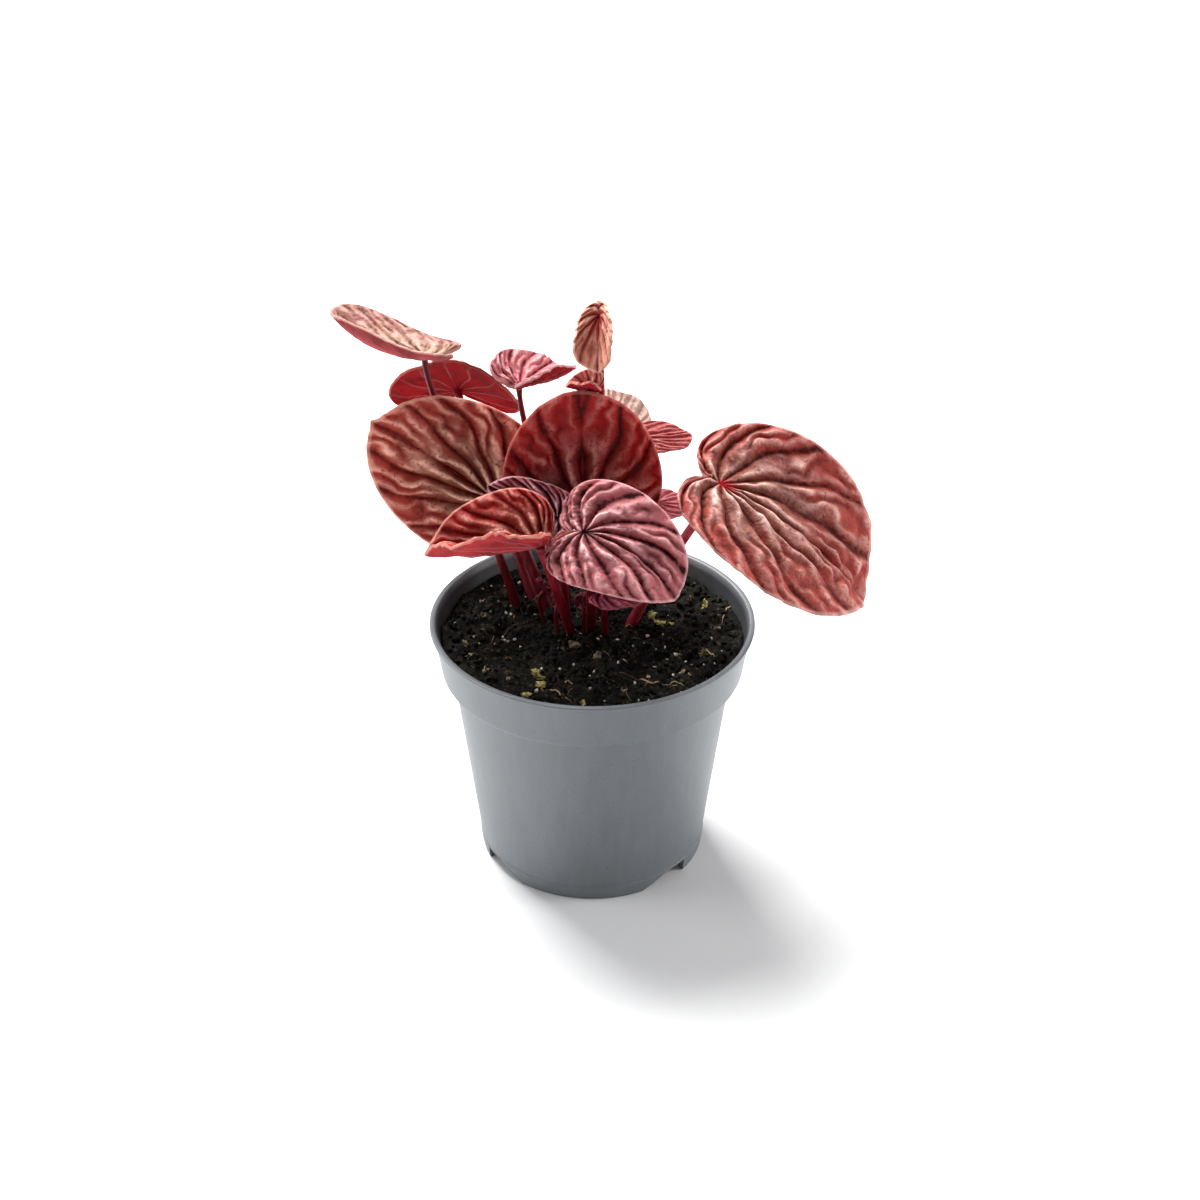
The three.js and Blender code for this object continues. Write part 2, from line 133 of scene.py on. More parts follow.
class Look:
    """A material around one Principled shader, and the nodes that feed it."""

    def __init__(self, name, roughness=0.5, **settings):
        self.material = bpy.data.materials.new(name)
        self.material.use_nodes = True
        self.tree = self.material.node_tree
        self.shader = self.tree.nodes["Principled BSDF"]
        self.shader.inputs["Roughness"].default_value = roughness
        for socket, value in settings.items():
            self.shader.inputs[socket.replace("_", " ")].default_value = value

    def put(self, socket, value):
        """Feeds a socket with a constant, a colour or another node's output."""
        if isinstance(value, Value):
            self.tree.links.new(value.socket, socket)
        elif socket.type == "RGBA":
            socket.default_value = (*value[:3], 1)
        else:
            socket.default_value = value

    def node(self, kind, settings=None, output=None, **sockets):
        """Adds a node: first its settings, then its sockets, then the wanted output."""
        node = self.tree.nodes.new("ShaderNode" + kind)
        for name, value in (settings or {}).items():
            setattr(node, name, value)
        for name, value in sockets.items():
            wanted = name.replace("_", " ")
            self.put(next(s for s in node.inputs if s.enabled and s.name == wanted), value)
        found = [s for s in node.outputs if s.enabled and (output is None or s.name == output)]
        return Value(self, found[0])

    def maths(self, operation, first, second):
        node = self.tree.nodes.new("ShaderNodeMath")
        node.operation = operation
        self.put(node.inputs[0], first)
        self.put(node.inputs[1], second)
        return Value(self, node.outputs[0])

    def smooth(self, value, low, high):
        """0 up to low, 1 from high on, and a soft step between them."""
        settings = {"interpolation_type": "SMOOTHSTEP"}
        return self.node("MapRange", settings, Value=value, From_Min=low, From_Max=high)

    def mix(self, factor, first, second):
        """Colour first where factor is 0, second where it is 1."""
        return self.node("Mix", {"data_type": "RGBA"}, Factor=factor, A=first, B=second)

    def attribute(self, name, output="Fac"):
        """A value, or a place as a Vector, that the mesh holds at every point."""
        return self.node("Attribute", {"attribute_name": name}, output)

    def place(self):
        """The point in the object's own space, in metres."""
        return self.node("TexCoord", output="Object")

    def noise(self, vector, scale, detail=3.0, roughness=0.55):
        settings = {"noise_dimensions": "3D"}
        return self.node("TexNoise", settings, "Fac", Vector=vector, Scale=scale, Detail=detail,
                         Roughness=roughness)

    def bump(self, height, distance, strength=1.0):
        """Gives the shader fine relief: height 0 to 1 stands for distance in metres."""
        relief = self.node("Bump", output="Normal", Strength=strength, Distance=distance,
                           Height=height)
        self.tree.links.new(relief.socket, self.shader.inputs["Normal"])

    def colour(self, value):
        self.put(self.shader.inputs["Base Color"], value)

    def roughness(self, value):
        self.put(self.shader.inputs["Roughness"], value)


def add_mesh(name, points, faces, look, values=None):
    """A smooth mesh object from points in millimetres. values holds what each point carries."""
    mesh = bpy.data.meshes.new(name)
    mesh.from_pydata((np.asarray(points, float) * MM).tolist(), [], faces)
    mesh.materials.append(look.material)
    for key, data in (values or {}).items():
        data = np.asarray(data, np.float32)
        if data.ndim == 1:
            mesh.attributes.new(key, "FLOAT", "POINT").data.foreach_set("value", data)
        else:
            layer = mesh.attributes.new(key, "FLOAT_VECTOR", "POINT")
            layer.data.foreach_set("vector", data.ravel())
    mesh.polygons.foreach_set("use_smooth", [True] * len(mesh.polygons))
    mesh.update()
    thing = bpy.data.objects.new(name, mesh)
    bpy.context.scene.collection.objects.link(thing)
    return thing


floor_look = Look("floor", roughness=0.8)
floor_grain = floor_look.noise(floor_look.place(), scale=40, detail=2)
floor_look.colour(floor_look.mix(floor_grain, (0.86, 0.86, 0.86), (0.88, 0.88, 0.88)))
half = FLOOR_SIZE / 2
corners = [(-half, -half, 0), (half, -half, 0), (half, half, 0), (-half, half, 0)]
add_mesh("floor", corners, [(0, 1, 2, 3)], floor_look)


# ---- Pot ----
# One injection moulding of grey polypropylene. The wall carries a slightly wider collar with
# a thin rolled rim, and the foot has four drain notches with one upright and one slanting edge.
# Its surface is satin, with fine specks and a faint vertical flow of the plastic.

POT_HEIGHT = 69.4
RIM_RADIUS = 42.5
RIM_WIDTH = 1.4
LIP_HEIGHT = 1.2
COLLAR_TOP_RADIUS = 41.6
COLLAR_BOTTOM_RADIUS = 39.7
COLLAR_BOTTOM = 55.5
BODY_TOP_RADIUS = 36.9
BODY_BASE_RADIUS = 29.9
WALL = 1.3
FOOT_BAND = 4.4
FOOT_BAND_PROUD = 0.25
FLOOR_THICKNESS = 1.5
FLOOR_RADIUS = 24
FLOOR_SHOULDER = FLOOR_RADIUS - 0.6
FLOOR_DISH = FLOOR_RADIUS - 1.4
GUTTER_HEIGHT = 4.2
NOTCH_ANGLES = [39, 129, 219, 309]
NOTCH_STEEP = 8
NOTCH_FLAT = 1
NOTCH_SLANT = 9
NOTCH_HEIGHT = GUTTER_HEIGHT - 0.2
NOTCH_REACH = 3
DRAIN_WIDTH = 9
DRAIN_INNER = 6.8
DRAIN_OUTER = 0.8
DRAIN_DEPTH = 2.6
POT_SEGMENTS = 220
POT_CORNER = 0.35
POT_SHARP_ANGLE = 40


def linear(red, green, blue):
    """A colour given as 0 to 255 on screen, as the shader's linear values."""
    levels = [level / 255 for level in (red, green, blue)]
    return [v / 12.92 if v <= 0.04045 else ((v + 0.055) / 1.055) ** 2.4 for v in levels]


def body_radius(z):
    """Outer radius of the pot's body at height z."""
    return BODY_BASE_RADIUS + (BODY_TOP_RADIUS - BODY_BASE_RADIUS) * z / COLLAR_BOTTOM


def rounded(profile, radius, steps=3):
    """The closed profile with each corner replaced by a small curve."""
    result = []
    count = len(profile)
    for i, corner in enumerate(profile):
        here = Vector(corner)
        before = Vector(profile[i - 1]) - here
        after = Vector(profile[(i + 1) % count]) - here
        start = here + before.normalized() * min(radius, 0.45 * before.length)
        end = here + after.normalized() * min(radius, 0.45 * after.length)
        for step in range(steps + 1):
            t = step / steps
            point = start * (1 - t) ** 2 + here * 2 * t * (1 - t) + end * t ** 2
            result.append(tuple(point))
    return result


def stack_of_rings(rings):
    """Points and faces of one closed skin over a list of rings of points."""
    count = len(rings[0])
    points = [point for ring in rings for point in ring]
    faces = []
    for ring in range(len(rings) - 1):
        for i in range(count):
            a = ring * count + i
            b = ring * count + (i + 1) % count
            faces.append((a, b, b + count, a + count))
    last = (len(rings) - 1) * count
    points += [tuple(np.mean(rings[0], axis=0)), tuple(np.mean(rings[-1], axis=0))]
    for i in range(count):
        after = (i + 1) % count
        faces.append((len(points) - 2, after, i))
        faces.append((len(points) - 1, last + i, last + after))
    return points, faces


def circle(radius, z, count):
    """Points of a level ring around the pot's axis."""
    turns = [2 * pi * i / count for i in range(count)]
    return [(radius * cos(turn), radius * sin(turn), z) for turn in turns]


LIP_BOTTOM = POT_HEIGHT - LIP_HEIGHT
FLOOR_TOP = GUTTER_HEIGHT + FLOOR_THICKNESS
POT_PROFILE = [
    (FLOOR_RADIUS, 0), (FLOOR_RADIUS + 0.8, GUTTER_HEIGHT),
    (BODY_BASE_RADIUS - WALL, GUTTER_HEIGHT), (BODY_BASE_RADIUS - WALL, 0),
    (BODY_BASE_RADIUS + FOOT_BAND_PROUD, 0),
    (body_radius(FOOT_BAND) + FOOT_BAND_PROUD, FOOT_BAND - 0.3),
    (body_radius(FOOT_BAND), FOOT_BAND),
    (body_radius(COLLAR_BOTTOM) - 0.1, COLLAR_BOTTOM - 0.8),
    (BODY_TOP_RADIUS + 0.7, COLLAR_BOTTOM), (COLLAR_BOTTOM_RADIUS - 0.6, COLLAR_BOTTOM),
    (COLLAR_BOTTOM_RADIUS, COLLAR_BOTTOM + 0.7), (COLLAR_TOP_RADIUS, LIP_BOTTOM),
    (RIM_RADIUS, LIP_BOTTOM + 0.3), (RIM_RADIUS, POT_HEIGHT), (RIM_RADIUS - RIM_WIDTH, POT_HEIGHT),
    (COLLAR_TOP_RADIUS - WALL, LIP_BOTTOM - 0.4), (COLLAR_BOTTOM_RADIUS - WALL, COLLAR_BOTTOM + 1.6),
    (BODY_TOP_RADIUS - WALL, COLLAR_BOTTOM - 0.3), (body_radius(FLOOR_TOP) - WALL, FLOOR_TOP),
    (FLOOR_SHOULDER, FLOOR_TOP), (FLOOR_DISH, FLOOR_THICKNESS),
]


def notch_cutter(angle, mirror):
    """Cutter of one drain notch and of the slot behind it."""
    outline = [(-NOTCH_STEEP, -1), (-NOTCH_STEEP, NOTCH_HEIGHT),
               (-NOTCH_FLAT, NOTCH_HEIGHT), (NOTCH_SLANT, -1)]
    if mirror < 0:
        outline = [(-x, z) for x, z in reversed(outline)]
    low = GUTTER_HEIGHT - DRAIN_DEPTH / 2
    high = GUTTER_HEIGHT + DRAIN_DEPTH / 2
    wide = DRAIN_WIDTH / 2
    slot = [(-wide, low), (-wide, high), (wide, high), (wide, low)]
    blocks = [(outline, BODY_BASE_RADIUS - NOTCH_REACH, BODY_BASE_RADIUS + NOTCH_REACH),
              (slot, BODY_BASE_RADIUS - DRAIN_INNER, BODY_BASE_RADIUS - DRAIN_OUTER)]
    points, faces = [], []
    for shape, inner, outer in blocks:
        first = len(points)
        points += [(inner, x, z) for x, z in shape] + [(outer, x, z) for x, z in shape]
        faces += [(first, first + 1, first + 2, first + 3),
                  (first + 7, first + 6, first + 5, first + 4)]
        faces += [(first + 4 + i, first + 4 + (i + 1) % 4, first + (i + 1) % 4, first + i)
                  for i in range(4)]
    turn = Matrix.Rotation(radians(angle), 3, "Z")
    return [tuple(turn @ Vector(point)) for point in points], faces


def cut(thing, cutter):
    """Takes cutter out of thing and deletes it."""
    modifier = thing.modifiers.new("cut", "BOOLEAN")
    modifier.object = cutter
    modifier.operation = "DIFFERENCE"
    modifier.solver = "MANIFOLD"
    result = bpy.data.meshes.new_from_object(
        thing.evaluated_get(bpy.context.evaluated_depsgraph_get()))
    thing.modifiers.clear()
    thing.data = result
    bpy.data.objects.remove(cutter)


pot_look = Look("pot_plastic", roughness=0.42)
pot_place = pot_look.place()
pot_flow = pot_look.node("Mapping", output="Vector", Vector=pot_place, Scale=(60, 60, 9))
pot_streaks = pot_look.noise(pot_flow, scale=6, detail=4)
pot_cloud = pot_look.noise(pot_place, scale=45, detail=3)
pot_specks = pot_look.smooth(pot_look.noise(pot_place, scale=2600, detail=1), 0.66, 0.72)
pot_grain = pot_look.noise(pot_place, scale=1800, detail=2)
pot_tone = pot_streaks * 0.6 + pot_cloud * 0.4
pot_grey = pot_look.mix(pot_tone, linear(96, 101, 105), linear(118, 123, 127))
pot_grey = pot_look.mix(pot_specks * 0.45, pot_grey, linear(62, 66, 72))
# Soil dust and painted shade: the inner face of the collar above the soil is darkened, because the
# inside of the pot lies in shade.
pot_dust_and_shade = pot_look.attribute("inside") * (pot_cloud * 0.5 + 0.45)
pot_look.colour(pot_look.mix(pot_dust_and_shade * 0.9, pot_grey, linear(36, 36, 36)))
pot_look.roughness(0.36 + pot_cloud * 0.16)
pot_look.bump(pot_grain, distance=0.00004)

pot_rings = [circle(radius, z, POT_SEGMENTS) for radius, z in rounded(POT_PROFILE, POT_CORNER)]
pot_points, pot_faces = stack_of_rings(pot_rings)
pot = add_mesh("nursery_pot", pot_points, pot_faces, pot_look)
for i, angle in enumerate(NOTCH_ANGLES):
    cutter_points, cutter_faces = notch_cutter(angle, -1 if i % 2 else 1)
    cut(pot, add_mesh("cutter", cutter_points, cutter_faces, pot_look))
pot.data.set_sharp_from_angle(angle=radians(POT_SHARP_ANGLE))

# The inner face of the collar is darkened: partly stained by the soil, partly painted shade of the
# hollow inside the pot.
inside = []
for vertex in pot.data.vertices:
    x, y, z = vertex.co / MM
    along = (z - COLLAR_BOTTOM) / (LIP_BOTTOM - COLLAR_BOTTOM)
    outer = COLLAR_BOTTOM_RADIUS + (COLLAR_TOP_RADIUS - COLLAR_BOTTOM_RADIUS) * along
    inside.append(float(0 < along < 1.02 and hypot(x, y) < outer - WALL / 2))
pot.data.attributes.new("inside", "FLOAT", "POINT").data.foreach_set("value", inside)
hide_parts("pot")
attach(pot, "root")


# ---- Soil ----
# Dark peat potting mix, filled into the pot by hand and pressed down a few millimetres below
# the rim. Its surface is lumpy and matt, with small lighter flecks.

SOIL_LEVEL = 65
SOIL_LUMP = 0.7
SOIL_GAP = 0.3
SOIL_SEGMENTS = 300
SOIL_TOP_RINGS = 84
SOIL_EDGE = COLLAR_TOP_RADIUS - WALL - 3 * SOIL_GAP


def soil_height(x, y):
    """Height of the soil's surface: slow lumps, with clods and then crumbs of peat on them."""
    lump = SOIL_LUMP * (sin(0.31 * x + 1.2) * cos(0.27 * y) + 0.6 * sin(0.62 * x - 0.49 * y + 0.7))
    clods = 1.1 * noise.noise((0.45 * x, 0.45 * y, 0.0)) + 0.55 * noise.noise((1.1 * x, 1.1 * y, 4.0))
    fine = 0.35 * noise.noise((2.4 * x, 2.4 * y, 9.0))
    return SOIL_LEVEL - 0.5 + lump + clods + fine


peat_look = Look("peat", Specular_IOR_Level=0.15)
peat_place = peat_look.place()
peat_clumps = peat_look.noise(peat_place, scale=260, detail=5, roughness=0.7)
peat_fleck = peat_look.smooth(peat_look.noise(peat_place, scale=900, detail=3), 0.56, 0.7)
peat_tone = peat_look.smooth(peat_clumps, 0.38, 0.66)
peat_brown = peat_look.mix(peat_tone, linear(6, 6, 5), linear(26, 24, 17))
peat_look.colour(peat_look.mix(peat_fleck * 0.45, peat_brown, linear(96, 86, 62)))
peat_look.roughness(0.98 - peat_clumps * 0.25)
peat_look.bump(peat_look.noise(peat_place, scale=1500, detail=4), distance=0.0003)

soil_wall = [
    (FLOOR_DISH - 2 * SOIL_GAP, FLOOR_THICKNESS + SOIL_GAP),
    (FLOOR_SHOULDER - 2 * SOIL_GAP, FLOOR_TOP + SOIL_GAP),
    (body_radius(FLOOR_TOP + SOIL_GAP) - WALL - SOIL_GAP, FLOOR_TOP + SOIL_GAP),
    (BODY_TOP_RADIUS - WALL - SOIL_GAP, COLLAR_BOTTOM),
    (COLLAR_BOTTOM_RADIUS - WALL - SOIL_GAP, COLLAR_BOTTOM + 2),
    (SOIL_EDGE, SOIL_LEVEL - 2),
]
soil_rings = [circle(radius, z, SOIL_SEGMENTS) for radius, z in soil_wall]
for ring in range(SOIL_TOP_RINGS):
    radius = SOIL_EDGE * (1 - ring / SOIL_TOP_RINGS)
    soil_rings.append([(x, y, soil_height(x, y)) for x, y, _ in circle(radius, 0, SOIL_SEGMENTS)])
soil = add_mesh("soil_peat", *stack_of_rings(soil_rings), peat_look)
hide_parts("soil")
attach(soil, "root")


# ---- Peat crumbs ----
# Loose lumps of the same peat that lie on the pressed surface, most of them smaller than a
# pinhead and a few as large as a small bead.

STREWN_SHARE = 0.97
CRUMB_COUNT = 1500
CRUMB_LARGEST = 2.6
CRUMB_ROUGHNESS = 1.0

chance = random.Random(7)


def lumpy_ball(centre, size, rough, flat=1.0, detail=1):
    """Points and faces of an irregular crumb about size across."""
    ball = bmesh.new()
    bmesh.ops.create_icosphere(ball, subdivisions=detail, radius=0.5)
    seed = Vector(centre) * 3.7
    turn = Matrix.Rotation(chance.uniform(0, 2 * pi), 3, (chance.gauss(0, 1), chance.gauss(0, 1), 1))
    stretch = Vector((1, chance.uniform(0.6, 1.0), flat * chance.uniform(0.6, 0.9)))
    points = []
    for vertex in ball.verts:
        swell = 1 + rough * noise.noise(vertex.co * 2.6 + seed)
        points.append(Vector(centre) + turn @ (vertex.co * swell * size * stretch))
    faces = [tuple(v.index for v in face.verts) for face in ball.faces]
    ball.free()
    return points, faces


def gather(parts):
    """Joins several (points, faces) into one."""
    points, faces = [], []
    for part_points, part_faces in parts:
        first = len(points)
        points += [tuple(point) for point in part_points]
        faces += [tuple(first + i for i in face) for face in part_faces]
    return points, faces


crumbs = []
for _ in range(CRUMB_COUNT):
    radius = SOIL_EDGE * chance.random() ** 0.5 * STREWN_SHARE
    turn = chance.uniform(0, 2 * pi)
    x, y = radius * cos(turn), radius * sin(turn)
    size = min(CRUMB_LARGEST, chance.lognormvariate(0.1, 0.45))
    crumbs.append(lumpy_ball((x, y, soil_height(x, y) + 0.15 * size), size, CRUMB_ROUGHNESS))
peat_crumbs = add_mesh("soil_crumbs", *gather(crumbs), peat_look)
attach(peat_crumbs, "root")


# ---- Perlite ----
# White puffed grains of volcanic glass, mixed into the peat to keep it loose; some are stained
# by the wet soil.

PERLITE_COUNT = 120
PERLITE_ROUGHNESS = 0.7

perlite_look = Look("perlite", roughness=0.9)
perlite_place = perlite_look.place()
perlite_tone = perlite_look.smooth(perlite_look.noise(perlite_place, scale=260), 0.35, 0.6)
perlite_look.colour(perlite_look.mix(perlite_tone, linear(104, 98, 84), linear(232, 228, 216)))
perlite_look.bump(perlite_look.noise(perlite_place, scale=2500, detail=2), distance=0.0001)
grains = []
for _ in range(PERLITE_COUNT):
    radius = SOIL_EDGE * chance.random() ** 0.5 * STREWN_SHARE
    turn = chance.uniform(0, 2 * pi)
    x, y = radius * cos(turn), radius * sin(turn)
    size = chance.uniform(0.4, 1.0) * chance.uniform(1.0, 1.5)
    grains.append(lumpy_ball((x, y, soil_height(x, y) + 0.35 * size), size, PERLITE_ROUGHNESS))
perlite = add_mesh("soil_perlite", *gather(grains), perlite_look)
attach(perlite, "root")


# ---- Yellow bits ----
# Crumbly yellow-green bits of rotted bark and moss that lie on the soil. Each is given by its
# place across the pot and by about half of its size.

YELLOW_BITS = [(15.5, 7.5, 1.7), (17.8, 5, 1.5), (20.8, 3.8, 1.1), (30.5, 12, 1.5),
               (-14.5, -21, 1.6), (-13, -24.2, 1.8), (-31, -12, 1.2), (29, -9.5, 1.0),
               (-16.5, -29.2, 1.2), (-2, -32.5, 1.0)]
BIT_ROUGHNESS = 1.4
BIT_FLATNESS = 0.8

bark_look = Look("yellow_bark", roughness=0.9)
bark_tone = bark_look.noise(bark_look.place(), scale=700, detail=4)
bark_look.colour(bark_look.mix(bark_look.smooth(bark_tone, 0.35, 0.65),
                               linear(86, 80, 34), linear(202, 190, 116)))
bark_look.bump(bark_tone, distance=0.0005)


def broken_bit(x, y, size, lumps=4):
    """A crumbly bit of about twice the size across, made of several lumps side by side."""
    parts = []
    for _ in range(lumps):
        lump_x = x + chance.uniform(-0.6, 0.6) * size
        lump_y = y + chance.uniform(-0.6, 0.6) * size
        centre = (lump_x, lump_y, soil_height(lump_x, lump_y) + 0.25 * size)
        lump = chance.uniform(0.9, 1.4) * size
        parts.append(lumpy_ball(centre, lump, BIT_ROUGHNESS, BIT_FLATNESS, detail=2))
    return gather(parts)


chips = [broken_bit(*bit) for bit in YELLOW_BITS]
bark = add_mesh("soil_bark", *gather(chips), bark_look)
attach(bark, "root")


# ---- Beige bits ----
# Smaller dull bits of wood and grit that lie on the soil between the yellow ones. They are
# given in the same way.

BEIGE_BITS = [(1.2, -11.5, 1.3), (-4.5, -6.2, 1.6), (-33.5, -6, 1.3), (-27, -18, 0.9),
              (23, -19, 1.2), (8, -27, 1.0), (-29, 8, 1.2), (14, -5, 0.9), (33, 2, 1.0)]

beige_look = Look("beige_bits", roughness=0.9)
beige_tone = beige_look.noise(beige_look.place(), scale=600, detail=4)
beige_look.colour(beige_look.mix(beige_look.smooth(beige_tone, 0.35, 0.65),
                                 linear(70, 60, 44), linear(158, 146, 120)))
beige_look.bump(beige_tone, distance=0.0003)
bits = [broken_bit(*bit, lumps=3) for bit in BEIGE_BITS]
beige = add_mesh("soil_beige", *gather(bits), beige_look)
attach(beige, "root")


# ---- Roots and fibres ----
# A few pale roots that come up out of the soil and go down again, and many short fine fibres
# of the peat.

PALE_ROOTS = [
    [(38, 16), (36, 12.3), (34.7, 7.2), (33.9, 2.7)],
    [(7, -9.6), (7.9, -12.9), (9.2, -15.8)],
    [(7, -19), (11, -20.4), (15, -23.7), (19.2, -24.6), (23.4, -25.5)],
    [(-11, -26.9), (-8.6, -28.3), (-6.6, -31.4), (-4.8, -33.7)],
    [(28.7, -7.1), (30.2, -10), (31.6, -12.4)],
    [(-24.3, -3.3), (-21.6, 1.6), (-18, 4.6), (-15.2, 8.1)],
]
PALE_ROOT_RADIUS = 0.26
FIBRE_COUNT = 90
FIBRE_STEP = 1.6
FIBRE_MARGIN = 5
FIBRE_SIDES = 6
FIBRE_LIFT = 0.6
FIBRE_SUNK = 0.2
STEPS_A_CORNER = 7

fibre_look = Look("root_fibre", roughness=0.85)
fibre_tone = fibre_look.noise(fibre_look.place(), scale=120, detail=2)
fibre_look.colour(fibre_look.mix(fibre_look.smooth(fibre_tone, 0.4, 0.6),
                                 linear(66, 48, 32), linear(186, 158, 122)))
fibre_look.bump(fibre_look.noise(fibre_look.place(), scale=3000, detail=1), distance=0.00005)


def tube(path, radii, sides):
    """Points and faces of a round tube along a list of points."""
    rings = []
    for i, centre in enumerate(path):
        tangent = (path[min(i + 1, len(path) - 1)] - path[max(i - 1, 0)]).normalized()
        across = Vector((0, 1, 0)).cross(tangent).normalized()
        other = tangent.cross(across)
        turns = [2 * pi * side / sides for side in range(sides)]
        rings.append([centre + (across * cos(t) + other * sin(t)) * radii[i] for t in turns])
    return stack_of_rings(rings)


def lying_fibre(corners, radius):
    """A thin fibre over the soil through the given corners, its ends pushed in."""
    path = []
    steps = STEPS_A_CORNER * (len(corners) - 1)
    for step in range(steps + 1):
        along = step / steps * (len(corners) - 1)
        i = min(int(along), len(corners) - 2)
        t = along - i
        t = t * t * (3 - 2 * t) * 0.5 + t * 0.5
        x = corners[i][0] * (1 - t) + corners[i + 1][0] * t
        y = corners[i][1] * (1 - t) + corners[i + 1][1] * t
        lift = FIBRE_LIFT * sin(pi * step / steps) ** 0.5 - FIBRE_SUNK
        path.append(Vector((x, y, soil_height(x, y) + lift)))
    radii = [radius * (1 - 0.5 * step / steps) for step in range(steps + 1)]
    return tube(path, radii, FIBRE_SIDES)


fibres = [lying_fibre(corners, PALE_ROOT_RADIUS) for corners in PALE_ROOTS]
for _ in range(FIBRE_COUNT):
    radius = (SOIL_EDGE - FIBRE_MARGIN) * chance.random() ** 0.5
    turn = chance.uniform(0, 2 * pi)
    heading = chance.uniform(0, 2 * pi)
    x, y = radius * cos(turn), radius * sin(turn)
    corners = [(x, y)]
    for _ in range(2):
        heading += chance.uniform(-0.9, 0.9)
        x += FIBRE_STEP * cos(heading)
        y += FIBRE_STEP * sin(heading)
        corners.append((x, y))
    fibres.append(lying_fibre(corners, chance.uniform(0.06, 0.16)))
fibre = add_mesh("soil_fibres", *gather(fibres), fibre_look)
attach(fibre, "root")


# ---- Stalks ----
# Eighteen fleshy round stems, each grown from a root in the soil to the underside of one blade,
# a little thicker at its foot and flared where it carries the blade. The skin is glossy and
# red, with darker streaks along it, and darkest at the foot.

BLADE_THICKNESS = 0.8
ROOT_DEPTH = 7
STALK_STEPS = 44
STALK_SIDES = 20
STALK_UNEVEN = 0.04
STALK_FLARE = 0.25
FLARE_REACH = 0.03
FOOT_BOTTOM = 64
FOOT_TOP = 84
STALK_COLOURS = {
    "red": (linear(88, 6, 18), linear(150, 26, 40)),
    "dark": (linear(78, 2, 14), linear(128, 14, 30)),
    "pink": (linear(140, 26, 44), linear(196, 74, 84)),
}
STALK_TINTS = {"far_left": "dark", "top": "dark", "right": "pink"}

